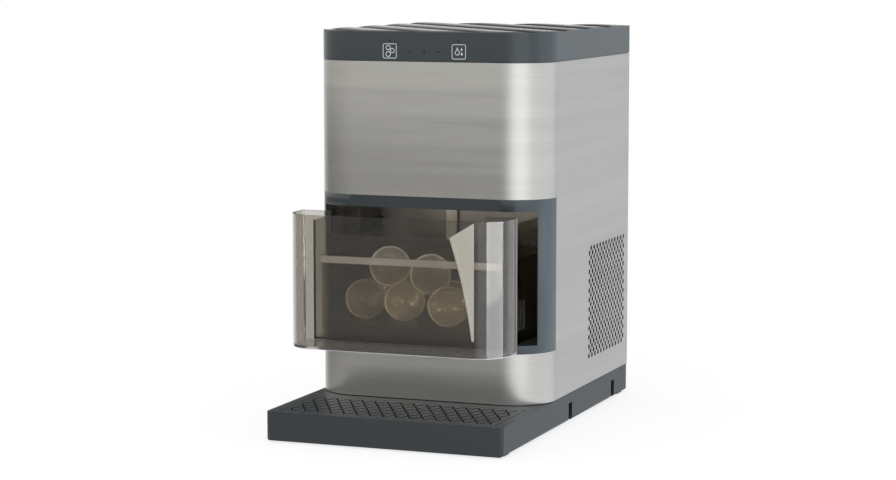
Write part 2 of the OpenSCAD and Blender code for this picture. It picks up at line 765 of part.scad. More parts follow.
// Lower mould half with cups, drip holes and two hinge lugs
module mould_tray() {
  y0 = y_body + mould_y - mould_dy + 1;
  y1 = y_body + mould_y + mould_dy - 1;
  color([0.86, 0.86, 0.84]) difference() {
    union() {
      span([1.5 - mould_x, y0, z_split - 0.4 - mould_t + 4], [mould_x - 1.5, y1, z_split - 0.4]);
      for (s = [-1, 1]) translate([s * cup_px, 0, 0]) {
        span([-6, y1 - e, axis_z - 6], [6, axis_y, axis_z + 6]);
        rod_x([-6, axis_y, axis_z], 12, 12);
      }
    }
    for (x = [-1 : 1], y = [-0.5, 0.5]) translate([x * cup_px, y_body + mould_y + y * cup_py, z_split - 0.4]) {
      sphere(d = ball_d);
      rod_z([0, 0, -mould_t], 5, mould_t);
    }
    rod_x([-150, axis_y, axis_z], shaft_d, 300);
  }
}

// Shaft that the tray is keyed to, driven at its right end
module tray_shaft() {
  color([0.7, 0.71, 0.72]) rod_x([-cheek_x - 6, axis_y, axis_z], shaft_d, 2 * cheek_x + cheek_t + gear_l + 4);
}

// Geared tilt motor on the right cheek
module tilt_motor() {
  x = cheek_x + cheek_t;
  color([0.2, 0.2, 0.22]) difference() {
    union() {
      span([x, axis_y - 16, axis_z - 12], [x + gear_l, axis_y + 16, axis_z + 22]);
      rod_x([x + gear_l - e, axis_y, axis_z + 8], 22, motor_l - gear_l);
    }
    rod_x([x - 1, axis_y, axis_z], shaft_d + 2 * run_fit, gear_l);
  }
}

// Open water tank under the cavity
module water_tank() {
  color([0.86, 0.88, 0.88]) difference() {
    union() {
      span([-tank_x, tank_y0, z_pan], [tank_x, tank_y1, z_pan + tank_h]);
      span([-tank_x - 3, tank_y0 - 3, z_pan + tank_h - 2], [tank_x + 3, tank_y1 + 3, z_pan + tank_h]);
      rod_y([pump_x, tank_y1 - 1, z_pan + 14], 14, pump_y - 16 - tank_y1 + 1);
    }
    span([-tank_x + 2.4, tank_y0 + 2.4, z_pan + 2.4], [tank_x - 2.4, tank_y1 - 2.4, z_pan + tank_h + 1]);
    rod_y([pump_x, tank_y1 - 4, z_pan + 14], 9, pump_y - tank_y1);
  }
}

// Circulation pump behind the tank, on the pan
module water_pump() {
  color([0.18, 0.2, 0.24]) difference() {
    union() {
      rod_z([pump_x, pump_y, z_pan], 36, 26);
      rod_z([pump_x, pump_y, z_pan + 26 - e], 28, 20);
      rod_z([pump_x, pump_y, z_pan + 46 - e], 9, 10);
    }
    rod_y([pump_x, pump_y - 30, z_pan + 14], 14, 14);
  }
}

// Hose from the pump, up behind the liner and over to the mould
module supply_hose() {
  r = 18;
  d = 12;
  zm = z_split + mould_t;
  z1 = zm + 24;
  y1 = y_body + mould_y + 40;
  color([0.8, 0.83, 0.84]) {
    rod_z([pump_x, pump_y, z_pan + 56], d, z1 - z_pan - 56 - r);
    translate([pump_x, pump_y - r, z1 - r]) rotate([90, 0, 90]) bend(r, d, 90);
    rod_y([pump_x, y1, z1], d, pump_y - r - y1);
    translate([pump_x, y1, z1 - r]) rotate([90, 0, 90]) rotate([0, 0, 90]) bend(r, d, 90);
    rod_z([pump_x, y1 - r, zm], d, z1 - r - zm);
  }
}

// Hermetic compressor: round shell with seam and terminal box
module compressor() {
  z0 = z_pan + 9;
  r = comp_d / 2;
  color([0.08, 0.08, 0.085]) translate([comp_x, comp_y, z0]) {
    rotate_extrude() {
      square([r - 16, comp_h]);
      translate([0, 14]) square([r, comp_h - 30]);
      translate([r - 14, 14]) circle(14);
      square([r - 14, 14]);
      translate([r - 16, comp_h - 16]) circle(16);
    }
    translate([0, 0, comp_h * 0.55]) cylinder(r = r + 2, h = 4);
    span([-22, -r - 9, 30], [22, -r + 6, 72]);
    span([-r + 2, -r + 12, 0], [r - 2, r - 12, 3]);
    for (x = [-1, 1]) span([x * (r - 14) - 8, -r + 4, 0], [x * (r - 14) + 8, r - 4, 3]);
  }
}

// Rubber grommets under the compressor's feet
module compressor_mounts() {
  r = comp_d / 2;
  color([0.15, 0.15, 0.15]) for (x = [-1, 1], y = [-1, 1])
    rod_z([comp_x + x * (r - 14), comp_y + y * (r - 12), z_pan], 14, 9);
}

// Finned condenser behind the side vent
module condenser() {
  y0 = fan_y - 56;
  y1 = fan_y + 56;
  z0 = fan_z - 56;
  color([0.7, 0.71, 0.72]) {
    for (i = [0 : 15]) span([cond_x0, y0 + 3 + i * 7, z0], [cond_x1, y0 + 4 + i * 7, z0 + 112]);
    for (x = [cond_x0 + 5, cond_x1 - 5], j = [0 : 4]) rod_y([x, y0 - 4, z0 + 12 + j * 22], line_d, y1 - y0 + 8);
    for (y = [y0, y1 - 1.2]) span([cond_x0, y, z_pan], [cond_x1, y + 1.2, z0 + 112]);
  }
}

// Plate and ring round the fan
module fan_shroud() {
  x0 = cond_x0 - 24;
  color([0.14, 0.14, 0.15]) difference() {
    union() {
      span([cond_x0 - 3, fan_y - 56, z_pan], [cond_x0, fan_y + 56, fan_z + 56]);
      rod_x([x0, fan_y, fan_z], fan_d + 9, 22);
    }
    rod_x([x0 - 1, fan_y, fan_z], fan_d + 4, 40);
  }
}

// Motor of the fan on three arms
module fan_motor() {
  x0 = cond_x0 - 52;
  color([0.2, 0.2, 0.21]) difference() {
    union() {
      rod_x([x0, fan_y, fan_z], 42, 26);
      for (a = [90, 210, 330]) translate([x0, fan_y, fan_z]) rotate([a, 0, 0]) {
        span([0, 18, -5], [4, fan_d / 2 + 4, 5]);
        span([0, fan_d / 2 + 2.1, -5], [28, fan_d / 2 + 4.4, 5]);
      }
    }
    rod_x([x0 + 10, fan_y, fan_z], 6 + 2 * run_fit, 30);
  }
}

// Fan: hub, shaft and five pitched blades
module fan_blades() {
  x0 = cond_x0 - 22;
  color([0.3, 0.31, 0.33]) {
    rod_x([x0 - 18, fan_y, fan_z], 6, 20);
    rod_x([x0, fan_y, fan_z], 30, 12);
    intersection() {
      rod_x([x0 - 1, fan_y, fan_z], fan_d, 16);
      for (a = [0 : 72 : 288]) translate([x0 + 6, fan_y, fan_z]) rotate([a, 0, 0]) rotate([0, 0, 0])
        rotate([0, 32, 0]) translate([-1, 12, -17]) cube([2, fan_d, 34]);
    }
  }
}

// Suction and discharge lines between coil, compressor and condenser
module refrigerant_lines() {
  zc = z_pan + 9 + comp_h;
  ze = z_split + mould_t + line_d / 2;
  r = coil_r;
  xs = -coil_x - r;
  xd = comp_x + 24;
  xc = cond_x0 + 5;
  yc = y_body + mould_y + 3 * r;
  zd = zc + 26;
  color([0.72, 0.45, 0.3]) {
    rod_z([xs, comp_y, zc], line_d, ze - zc - r);
    translate([xs, comp_y - r, ze - r]) rotate([90, 0, 90]) bend(r, line_d, 90);
    rod_y([xs, yc + r, ze], line_d, comp_y - yc - 2 * r);
    translate([-coil_x, yc + r, ze]) rotate([0, 0, 180]) bend(r, line_d, 90);
    rod_z([xd, comp_y, zc], line_d, zd - zc);
    translate([xd + r, comp_y, zd]) rotate([90, 0, 0]) rotate([0, 0, 90]) bend(r, line_d, 90);
    rod_x([xd + r, comp_y, zd + r], line_d, xc - xd - 2 * r);
    translate([xc - r, comp_y, zd]) rotate([90, 0, 0]) bend(r, line_d, 90);
    rod_z([xc, comp_y, fan_z + 56], line_d, zd - fan_z - 56);
  }
}

// Filter drier clipped to the right side of the shroud
module filter_drier() {
  color([0.72, 0.45, 0.3]) translate([cond_x0 - 12.2, fan_y + 40, fan_z + 62]) {
    rod_y([0, -60, 0], 18, 50);
    rod_y([0, -74, 0], 6, 78);
    span([-4, -40, -6], [12, -30, 0]);
  }
}

// Power inlet socket with three pins
module power_inlet() {
  color([0.1, 0.1, 0.1]) translate([inlet_x, y_rear, inlet_z]) {
    difference() {
      union() {
        translate([0, 1, 0]) cube([48, 2, 22.4], center = true);
        translate([0, -12, 0]) cube([27, 26, 20], center = true);
      }
      translate([0, -5, 0]) cube([23, 16, 15.5], center = true);
    }
    for (x = [-7, 0, 7]) translate([x, -9, x == 0 ? 2 : -2]) cube([2, 9, 4], center = true);
  }
}

// Recessed drain spout in the rear panel
module drain_spout() {
  color([0.16, 0.16, 0.17]) difference() {
    union() {
      rod_y([spout_x, y_rear - sheet_t - 14, spout_z], 25.6, 14 + sheet_t);
      rod_y([spout_x, y_rear - sheet_t - 2, spout_z], 32, 2);
      rod_y([spout_x, y_rear - 34, spout_z], 14, 22);
    }
    rod_y([spout_x, y_rear - 11, spout_z], 21, 20);
    rod_y([spout_x, y_rear - 40, spout_z], 9, 40);
  }
}

// Soft plug in the drain spout with a pull tab
module drain_plug() {
  color([0.25, 0.25, 0.26]) {
    rod_y([spout_x, y_rear - 24, spout_z], 9 - 2 * run_fit, 13.5);
    rod_y([spout_x, y_rear - 11 + slide_gap, spout_z], 18, 4);
    span([spout_x - 6, y_rear - 8, spout_z - 1.5], [spout_x + 6, y_rear + 0.5, spout_z + 1.5]);
  }
}

// Pan-head screws of the rear panel
module panel_screws() {
  color([0.7, 0.7, 0.7]) for (s = [-1, 1], z = screw_z) {
    rod_y([s * screw_x, y_rear - 9, z], 3, 9 + e);
    rod_y([s * screw_x, y_rear, z], 6, 1.6);
  }
}

base_plinth();
base_cover();
base_pan();
rubber_feet();
drip_basin();
drip_grille();
front_upper_panel();
front_lower_panel();
side_panel_right();
side_panel_left();
rear_panel();
drawer_bezel();
cavity_liner();
drawer_rails();
return_duct();
top_cover();
led_lenses();
control_board();
drawer_fascia();
drawer_bin();
ice_tub();
fascia_web();
ice_balls();
mould_frame();
mould_block();
evaporator_coil();
mould_tray();
tray_shaft();
tilt_motor();
water_tank();
water_pump();
supply_hose();
compressor();
compressor_mounts();
condenser();
fan_shroud();
fan_motor();
fan_blades();
refrigerant_lines();
filter_drier();
power_inlet();
drain_spout();
drain_plug();
panel_screws();
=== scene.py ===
import math

import bmesh
import bpy
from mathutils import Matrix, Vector


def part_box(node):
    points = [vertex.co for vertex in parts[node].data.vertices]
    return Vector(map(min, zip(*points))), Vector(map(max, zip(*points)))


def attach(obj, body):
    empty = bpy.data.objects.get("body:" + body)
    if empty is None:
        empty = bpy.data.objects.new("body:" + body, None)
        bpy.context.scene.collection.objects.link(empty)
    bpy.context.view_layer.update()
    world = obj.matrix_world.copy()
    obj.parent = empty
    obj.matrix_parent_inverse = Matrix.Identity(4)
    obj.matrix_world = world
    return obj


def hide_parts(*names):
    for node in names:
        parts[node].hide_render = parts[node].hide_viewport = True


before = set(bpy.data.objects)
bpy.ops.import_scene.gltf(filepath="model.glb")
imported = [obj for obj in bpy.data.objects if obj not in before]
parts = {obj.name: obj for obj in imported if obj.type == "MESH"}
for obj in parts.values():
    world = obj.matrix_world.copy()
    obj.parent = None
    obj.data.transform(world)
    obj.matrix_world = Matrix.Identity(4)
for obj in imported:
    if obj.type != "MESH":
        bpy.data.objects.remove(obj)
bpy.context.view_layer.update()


# Base plinth with its front apron: one deep tray moulded in charcoal ABS with a fine satin
# texture. The steel body stands on it, the drip grille lies in its apron, and a flat cover
# closes it underneath.

def linear(code):
    """A colour written as sRGB hex, as linear red, green, blue and alpha."""
    values = [int(code[i:i + 2], 16) / 255 for i in (1, 3, 5)]
    return tuple(v / 12.92 if v <= 0.04045 else ((v + 0.055) / 1.055) ** 2.4 for v in values) + (1.0,)


def add(tree, kind, inputs=None, **settings):
    """Adds one shader node with its settings, and fills its inputs with values or other nodes' outputs."""
    node = tree.nodes.new("ShaderNode" + kind)
    for key, value in settings.items():
        setattr(node, key, value)
    for key, value in (inputs or {}).items():
        if isinstance(value, bpy.types.NodeSocket):
            tree.links.new(value, node.inputs[key])
        else:
            node.inputs[key].default_value = value
    return node


def finish_named(name):
    """An empty material, with its node tree."""
    made = bpy.data.materials.new(name)
    made.use_nodes = True
    made.node_tree.nodes.clear()
    return made, made.node_tree


def dress(finish, *names):
    """Gives CAD pieces a finish."""
    for name in names:
        for place in parts[name].material_slots:
            place.material = finish


def ease_edges(radius, *names):
    """Rounds the sharp edges of CAD pieces, as a mould or a press brake leaves them."""
    for name in names:
        weld = parts[name].modifiers.new("joined faces", "WELD")
        weld.merge_threshold = 2e-6
        ease = parts[name].modifiers.new("eased edges", "BEVEL")
        ease.width = radius
        ease.segments = 2
        ease.limit_method = "ANGLE"
        ease.angle_limit = math.radians(40)
        ease.harden_normals = True


def moulded_plastic(name, colour, shade, rough, grain):
    """Moulded plastic with a spark-eroded grain: the colour drifts a little over a hand's width, and the
    grain breaks up the gloss. The grain is drawn at about three times its real size so that it shows."""
    made, tree = finish_named(name)
    place = add(tree, "TexCoord").outputs["Object"]
    drift = add(tree, "TexNoise", {"Vector": place, "Scale": 1 / 0.09, "Detail": 2.0})
    tint = add(tree, "MixRGB", {
        "Fac": drift.outputs["Fac"], "Color1": linear(colour), "Color2": linear(shade)})
    spark = add(tree, "TexNoise", {"Vector": place, "Scale": 1 / grain, "Detail": 3.0, "Roughness": 0.6})
    gloss = add(tree, "MapRange", {
        "Value": spark.outputs["Fac"], "To Min": rough - 0.05, "To Max": rough + 0.07})
    relief = add(tree, "Bump", {"Height": spark.outputs["Fac"], "Strength": 0.12, "Distance": 0.00008})
    skin = add(tree, "BsdfPrincipled", {
        "Base Color": tint.outputs["Color"], "Roughness": gloss.outputs["Result"],
        "Normal": relief.outputs["Normal"], "IOR": 1.53})
    add(tree, "OutputMaterial", {"Surface": skin.outputs["BSDF"]})
    return made


base_edge = 0.0009
matt_abs = moulded_plastic("charcoal_abs_deep_textured", "#192125", "#1e272c", 0.42, 0.0014)
dress(matt_abs, "base_plinth")
ease_edges(base_edge, "base_plinth")


# Cover plate under the base: black polypropylene with air slots, moulded flat and matt. It is let in
# between the walls of the base.

black_pp = moulded_plastic("black_polypropylene_moulded", "#17181a", "#1c1d1f", 0.5, 0.0015)
dress(black_pp, "base_cover")


# Feet: buttons moulded in black rubber and pressed into sockets of the base. They look dull and
# slightly dusty; the compressor's mounts and the drain plug are of the same rubber.

rubber, tree = finish_named("moulded_black_rubber")
place = add(tree, "TexCoord").outputs["Object"]
bloom = add(tree, "TexNoise", {"Vector": place, "Scale": 1 / 0.004, "Detail": 4.0})
tint = add(tree, "MixRGB", {
    "Fac": bloom.outputs["Fac"], "Color1": linear("#1b1b1b"), "Color2": linear("#2a2a29")})
skin = add(tree, "BsdfPrincipled", {"Base Color": tint.outputs["Color"], "Roughness": 0.8, "IOR": 1.52})
add(tree, "OutputMaterial", {"Surface": skin.outputs["BSDF"]})
dress(rubber, "rubber_feet", "compressor_mounts", "drain_plug")


# Drip basin and grille: the same ABS as the base, the grille a flush plate with crossing slots that
# leave a field of diamonds, the basin a darker tub under it.

dress(matt_abs, "drip_grille")
dress(black_pp, "drip_basin")


# Steel panels: cold-rolled stainless sheet, brushed along the horizontal and bent round the front
# corners. The brush lines blur reflections up and down and keep them crisp sideways.

brushed_steel, tree = finish_named("stainless_steel_horizontal_brushed")
place = add(tree, "TexCoord").outputs["Object"]
# Brush lines are about 0.1 mm wide and 60 mm long; they are drawn 1.1 mm wide so that they show.
along = add(tree, "Mapping", {"Vector": place, "Scale": (1 / 0.06, 1 / 0.06, 1 / 0.0011)})
lines = add(tree, "TexNoise", {
    "Vector": along.outputs["Vector"], "Scale": 1.0, "Detail": 3.0, "Roughness": 0.65})
# Passes of the brush leave wider, fainter bands.
bands_at = add(tree, "Mapping", {"Vector": place, "Scale": (1 / 0.35, 1 / 0.35, 1 / 0.012)})
bands = add(tree, "TexNoise", {"Vector": bands_at.outputs["Vector"], "Scale": 1.0, "Detail": 2.0})
both = add(tree, "Math", {0: lines.outputs["Fac"], 1: bands.outputs["Fac"]}, operation="ADD")
share = add(tree, "MapRange", {"Value": both.outputs["Value"], "From Min": 0.6, "From Max": 1.4})
tint = add(tree, "MixRGB", {
    "Fac": share.outputs["Result"], "Color1": linear("#bcbbb6"), "Color2": linear("#cac9c4")})
gloss = add(tree, "MapRange", {"Value": share.outputs["Result"], "To Min": 0.28, "To Max": 0.32})
around = add(tree, "Tangent", direction_type="RADIAL", axis="Z")
skin = add(tree, "BsdfPrincipled", {
    "Base Color": tint.outputs["Color"], "Metallic": 1.0, "Roughness": gloss.outputs["Result"],
    "Anisotropic": 0.75, "Tangent": around.outputs["Tangent"]})
add(tree, "OutputMaterial", {"Surface": skin.outputs["BSDF"]})
dress(brushed_steel, "front_upper_panel", "front_lower_panel", "side_panel_right", "side_panel_left")


# Rear panel, base pan and mould frame: zinc-coated sheet steel, punched and bent. The crystals of the
# zinc show as faint patches under a satin gloss.

zinc_sheet, tree = finish_named("zinc_coated_sheet_satin")
place = add(tree, "TexCoord").outputs["Object"]
spangle = add(tree, "TexVoronoi", {"Vector": place, "Scale": 1 / 0.006})
drift = add(tree, "MixRGB", {
    "Fac": spangle.outputs["Color"], "Color1": linear("#8e9092"), "Color2": linear("#9a9c9e")})
gloss = add(tree, "MapRange", {"Value": spangle.outputs["Distance"], "To Min": 0.42, "To Max": 0.55})
skin = add(tree, "BsdfPrincipled", {
    "Base Color": drift.outputs["Color"], "Metallic": 0.85, "Roughness": gloss.outputs["Result"]})
add(tree, "OutputMaterial", {"Surface": skin.outputs["BSDF"]})
dress(zinc_sheet, "rear_panel", "base_pan", "mould_frame")


# Drawer frame: a charcoal ABS moulding flush with the steel, wrapped round both front corners and
# clipped to the panels above and below.

frame_edge = 0.0006
satin_abs = moulded_plastic("charcoal_abs_satin", "#283035", "#2c363b", 0.3, 0.0012)
dress(satin_abs, "drawer_bezel")
ease_edges(frame_edge, "drawer_bezel")


# Cavity liner, rails and duct: moulded polypropylene, matt, screwed behind the drawer frame. The liner
# is dark grey and the rails are black; a pale duct on the back wall leads spare water down.

liner_pp = moulded_plastic("dark_grey_polypropylene_moulded", "#5d5a55", "#66635e", 0.5, 0.0015)
dress(liner_pp, "cavity_liner")
dress(black_pp, "drawer_rails")
pale_pp = moulded_plastic("natural_polypropylene_moulded", "#a7b0b8", "#b2bac1", 0.42, 0.0015)
dress(pale_pp, "return_duct")


# Top cover: charcoal ABS cap over the body, hollow underneath, with round-backed ribs on a slant across
# its top. Its sides are satin, its top is polished, and it carries the touch panel on its front.

cover_abs, tree = finish_named("charcoal_abs_polished_top")
place = add(tree, "TexCoord").outputs["Object"]
drift = add(tree, "TexNoise", {"Vector": place, "Scale": 1 / 0.09, "Detail": 2.0})
tint = add(tree, "MixRGB", {
    "Fac": drift.outputs["Fac"], "Color1": linear("#273034"), "Color2": linear("#2b353a")})
upward = add(tree, "SeparateXYZ", {"Vector": add(tree, "NewGeometry").outputs["Normal"]})
gloss = add(tree, "MapRange", {
    "Value": upward.outputs["Z"], "From Min": 0.8, "From Max": 0.98, "To Min": 0.3, "To Max": 0.1})
skin = add(tree, "BsdfPrincipled", {
    "Base Color": tint.outputs["Color"], "Roughness": gloss.outputs["Result"], "IOR": 1.53})
add(tree, "OutputMaterial", {"Surface": skin.outputs["BSDF"]})
dress(cover_abs, "top_cover")


# Indicator lenses: light pipes of dark acrylic, pressed into the front of the cover and flush with it.
# They are polished, and look black until they are lit.

dark_acrylic, tree = finish_named("dark_acrylic_polished")
place = add(tree, "TexCoord").outputs["Object"]
streak = add(tree, "TexNoise", {"Vector": place, "Scale": 1 / 0.0015})
tint = add(tree, "MixRGB", {
    "Fac": streak.outputs["Fac"], "Color1": linear("#060606"), "Color2": linear("#0c0c0d")})
skin = add(tree, "BsdfPrincipled", {"Base Color": tint.outputs["Color"], "Roughness": 0.12, "IOR": 1.49})
add(tree, "OutputMaterial", {"Surface": skin.outputs["BSDF"]})
dress(dark_acrylic, "led_lenses")


# Touch symbols: pad-printed light grey ink on the cover's front, one square with linked rings for
# making ice and one with drops for rinsing. The ink stands a few hundredths of a millimetre proud.

symbol_x = 0.040
symbol_z = 0.4145
symbol_side = 0.0154
panel_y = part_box("top_cover")[0].y
ink_thick = 0.00004

printed_ink, tree = finish_named("pad_printed_ink_light_grey")
place = add(tree, "TexCoord").outputs["Object"]
wear = add(tree, "TexNoise", {"Vector": place, "Scale": 1 / 0.002, "Detail": 3.0})
tint = add(tree, "MixRGB", {
    "Fac": wear.outputs["Fac"], "Color1": linear("#c9cccd"), "Color2": linear("#dcdedf")})
skin = add(tree, "BsdfPrincipled", {"Base Color": tint.outputs["Color"], "Roughness": 0.5})
add(tree, "OutputMaterial", {"Surface": skin.outputs["BSDF"]})


def ring(cx, cz, r, count=36):
    """Points of a circle on the panel."""
    return [(cx + r * math.cos(2 * math.pi * k / count), cz + r * math.sin(2 * math.pi * k / count))
            for k in range(count)]


def rounded_square(cx, cz, side, r, count=6):
    """Points of a square with rounded corners on the panel."""
    path = []
    for turn in range(4):
        a = turn * math.pi / 2
        ux, uz = math.cos(a), math.sin(a)
        mx = cx + (ux - uz) * (side / 2 - r)
        mz = cz + (uz + ux) * (side / 2 - r)
        for k in range(count + 1):
            b = a + k / count * math.pi / 2
            path.append((mx + r * math.cos(b), mz + r * math.sin(b)))
    return path


def drop(cx, cz, r, tall, count=28):
    """Points of a water drop: a round foot drawn up to a tip."""
    path = []
    for k in range(count):
        a = 2 * math.pi * k / count - math.pi / 2
        up = max(0.0, math.sin(a))
        x = cx + r * math.cos(a) * (1 - up ** 1.6)
        path.append((x, cz + r * math.sin(a) + up ** 2 * (tall - 2 * r)))
    return path


def print_line(form, path, wide):
    """A closed printed line of even width along a path."""
    half = wide / 2
    rows = []
    for k, (x, z) in enumerate(path):
        ax, az = path[k - 1]
        bx, bz = path[(k + 1) % len(path)]
        long = math.hypot(bx - ax, bz - az)
        nx, nz = (az - bz) / long, (bx - ax) / long
        rows.append([form.verts.new((x + s * nx, panel_y, z + s * nz)) for s in (-half, half)])
    for k, row in enumerate(rows):
        nxt = rows[(k + 1) % len(rows)]
        form.faces.new((row[0], nxt[0], nxt[1], row[1]))


def print_fill(form, path):
    """A printed solid inside a path."""
    form.faces.new([form.verts.new((x, panel_y, z)) for x, z in path])


def build(name, form, finish):
    """An object with one finish, from a mesh in the making."""
    mesh = bpy.data.meshes.new(name)
    form.to_mesh(mesh)
    form.free()
    mesh.materials.append(finish)
    made = bpy.data.objects.new(name, mesh)
    bpy.context.scene.collection.objects.link(made)
    return made


def printed(name, form):
    """Turns a flat print into a thin raised layer on the cover."""
    bmesh.ops.recalc_face_normals(form, faces=form.faces[:])
    made = build(name, form, printed_ink)
    layer = made.modifiers.new("ink layer", "SOLIDIFY")
    layer.thickness = ink_thick * 2
    layer.offset = 0.0
    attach(made, "housing")


form = bmesh.new()
print_line(form, rounded_square(-symbol_x, symbol_z, symbol_side, 0.0016), 0.0007)
for dx, dz, r in ((-0.0018, 0.0036, 0.0024), (0.0030, 0.0004, 0.0023), (-0.0018, -0.0034, 0.0026)):
    print_line(form, ring(-symbol_x + dx, symbol_z + dz, r), 0.0008)
printed("symbol_ice", form)

form = bmesh.new()
print_line(form, rounded_square(symbol_x, symbol_z, symbol_side, 0.0016), 0.0007)
print_line(form, drop(symbol_x - 0.0017, symbol_z - 0.0010, 0.0024, 0.0084), 0.0008)
print_fill(form, drop(symbol_x + 0.0032, symbol_z + 0.0022, 0.0010, 0.0036))
print_fill(form, drop(symbol_x + 0.0034, symbol_z - 0.0026, 0.0012, 0.0042))
printed("symbol_rinse", form)


# Control board: glass-fibre laminate under green solder mask, with its tracks showing faintly through.
# It stands behind the touch panel.

solder_mask, tree = finish_named("solder_mask_green")
place = add(tree, "TexCoord").outputs["Object"]
tracks = add(tree, "TexBrick", {
    "Vector": place, "Scale": 1 / 0.004, "Color1": linear("#16512c"), "Color2": linear("#1c6236"),
    "Mortar": linear("#2c7d4a"), "Mortar Size": 0.03})
skin = add(tree, "BsdfPrincipled", {"Base Color": tracks.outputs["Color"], "Roughness": 0.35})
add(tree, "OutputMaterial", {"Surface": skin.outputs["BSDF"]})
dress(solder_mask, "control_board")


# Drawer: fascia, bin and lift-in tub, each injection moulded in smoked clear SAN and polished. The
# fascia's round corners catch the light in upright bands; edges look darker, because light is led
# along inside the wall.

def smoked_clear(name, colour, shade, rough, milky_over=1.0, milky_before=-1.0, painted_lit_under=-1.0):
    """Clear moulded plastic with a grey-brown tint, deeper where the wall is seen at a slant and light takes
    a longer way through it. Lamps shine through it with the same tint. It turns pale and milky over one
    height in front of a depth, and under another height; the pale strip under the lower height is painted
    light."""
    made, tree = finish_named(name)
    place = add(tree, "TexCoord").outputs["Object"]
    flow = add(tree, "TexNoise", {"Vector": place, "Scale": 1 / 0.06, "Detail": 2.0})
    slant = add(tree, "LayerWeight", {"Blend": 0.35})
    drift = add(tree, "Math", {0: flow.outputs["Fac"], 1: 0.15}, operation="MULTIPLY")
    depth = add(tree, "Math", {
        0: slant.outputs["Facing"], 1: drift.outputs["Value"]}, operation="ADD", use_clamp=True)
    tint = add(tree, "MixRGB", {
        "Fac": depth.outputs["Value"], "Color1": linear(colour), "Color2": linear(shade)})
    at = add(tree, "SeparateXYZ", {"Vector": place})
    over = add(tree, "Math", {0: at.outputs["Z"], 1: milky_over}, operation="GREATER_THAN")
    before = add(tree, "Math", {0: at.outputs["Y"], 1: milky_before}, operation="LESS_THAN")
    milky_mask = add(tree, "Math", {0: over.outputs["Value"], 1: before.outputs["Value"]}, operation="MULTIPLY")
    under = add(tree, "Math", {0: at.outputs["Z"], 1: painted_lit_under}, operation="LESS_THAN")
    milky_mask = add(tree, "Math", {0: milky_mask.outputs["Value"], 1: under.outputs["Value"]}, operation="MAXIMUM")
    # Pale and milky where the mask is set; under the fascia this is painted light.
    clear = add(tree, "MapRange", {"Value": milky_mask.outputs["Value"], "To Min": 1.0, "To Max": 0.42})
    milky = add(tree, "MixRGB", {
        "Fac": milky_mask.outputs["Value"], "Color1": tint.outputs["Color"], "Color2": linear("#e4e4ea")})
    wall = add(tree, "BsdfPrincipled", {
        "Base Color": milky.outputs["Color"], "Roughness": rough, "IOR": 1.49,
        "Transmission Weight": clear.outputs["Result"]})
    # A lamp's ray meets two faces of each wall, so each face takes the root of the tint.
    face = add(tree, "Gamma", {"Color": tint.outputs["Color"], "Gamma": 0.5})
    lamp = add(tree, "BsdfTransparent", {"Color": face.outputs["Color"]})
    ray = add(tree, "LightPath")
    look = add(tree, "MixShader", {
        0: ray.outputs["Is Shadow Ray"], 1: wall.outputs["BSDF"], 2: lamp.outputs["BSDF"]})
    add(tree, "OutputMaterial", {"Surface": look.outputs["Shader"]})
    return made


# The underside of the fascia and the tub's rim are drawn pale and milky, as pale strips. The strip under the
# fascia is painted light: it stands in for the lit floor of the bin seen through the front.
under_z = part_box("drawer_fascia")[0].z + 0.0004
smoked_san = smoked_clear("smoked_clear_san_polished", "#cdcac4", "#98938b", 0.02, painted_lit_under=under_z)
dress(smoked_san, "drawer_fascia", "drawer_bin")
tub_rim_z = 0.1866
tub_front_y = -0.136
tub_san = smoked_clear("smoked_clear_san_tub", "#c9bfb1", "#958c80", 0.03, tub_rim_z, tub_front_y)
dress(tub_san, "ice_tub")


# Web at the right end of the fascia: a thin plate of clear plastic that stands in the fascia's hollow. Its
# face is drawn near white and even: a painted reflection, standing in for the reflection of a lamp in the
# fascia's flat front.

pale_plate_painted_reflection, tree = finish_named("clear_plate_painted_reflection")
place = add(tree, "TexCoord").outputs["Object"]
reflection_mottle = add(tree, "TexNoise", {"Vector": place, "Scale": 1 / 0.003, "Detail": 4.0})
# Near-white colour with a faint mottle: a painted reflection of a lamp.
tint = add(tree, "MixRGB", {
    "Fac": reflection_mottle.outputs["Fac"], "Color1": linear("#f6f4ef"), "Color2": linear("#fdfbf7")})
skin = add(tree, "BsdfPrincipled", {"Base Color": tint.outputs["Color"], "Roughness": 0.35, "IOR": 1.49})
add(tree, "OutputMaterial", {"Surface": skin.outputs["BSDF"]})
dress(pale_plate_painted_reflection, "fascia_web")


# Ice balls: clear ice frozen in round moulds, 45 mm across, wet and slightly melted, with the faint
# seam that the two mould halves leave. They lie loose in the tub, two on top of five.

ball_r = 0.0225
floor_z = 0.1191
body_y = -0.098
lower = [(-0.071, 0.0065), (-0.023, 0.003), (0.036, -0.0185), (0.024, 0.0268), (-0.044, 0.0436)]


def resting(a, b, c):
    """Centre of a ball that rests on three lower ones, seen from their own level."""
    reach = 2 * ball_r + 0.0001
    u, v = Vector(b) - Vector(a), Vector(c) - Vector(a)
    den = 2 * (u.x * v.y - u.y * v.x)
    px = (v.y * u.dot(u) - u.y * v.dot(v)) / den
    py = (u.x * v.dot(v) - v.x * u.dot(u)) / den
    return a[0] + px, a[1] + py, math.sqrt(reach ** 2 - px ** 2 - py ** 2)


heap = [(x, y, 0.0) for x, y in lower]
heap += [resting(lower[0], lower[1], lower[4]), resting(lower[1], lower[2], lower[3])]

clear_ice, tree = finish_named("clear_ice_wet")
place = add(tree, "TexCoord").outputs["Object"]
melt = add(tree, "TexNoise", {"Vector": place, "Scale": 1 / 0.009, "Detail": 2.0})
relief = add(tree, "Bump", {"Height": melt.outputs["Fac"], "Strength": 0.12, "Distance": 0.0008})
